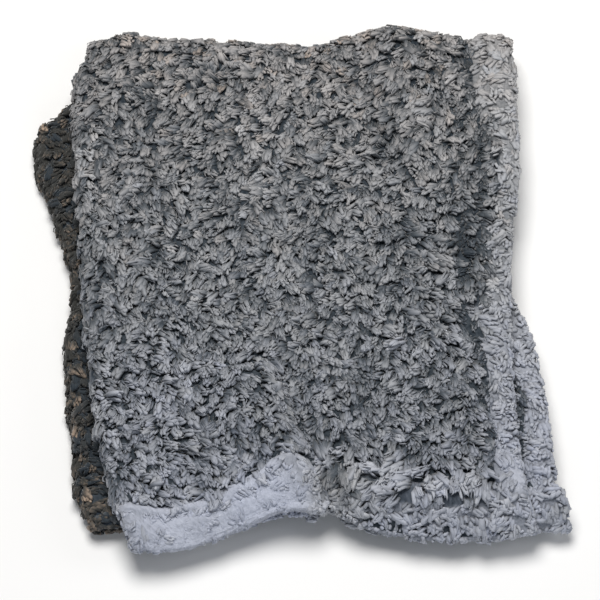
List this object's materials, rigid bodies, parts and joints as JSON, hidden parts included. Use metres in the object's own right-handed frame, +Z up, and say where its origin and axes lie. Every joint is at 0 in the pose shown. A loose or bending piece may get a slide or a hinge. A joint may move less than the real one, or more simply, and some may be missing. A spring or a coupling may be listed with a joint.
{
  "type": "folded sherpa blanket",
  "caption": "Frosted grey sherpa blanket with a curly pile and turned hems, folded both ways and lying flat.",
  "frame": {"origin": "middle of the underside, on the surface that the folded blanket lies on", "axes": "+X to the right across the loose side hems, +Y from the loose front hems to the back fold, +Z up"},
  "size_m": [0.4568, 0.5162, 0.0576],
  "materials": {
    "frosted_pile": "curly polyester pile, slate at its roots and frosted pale grey at its tips, matt"
  },
  "bodies": {
    "root": {"blanket": "frosted_pile"}
  },
  "joints": []
}
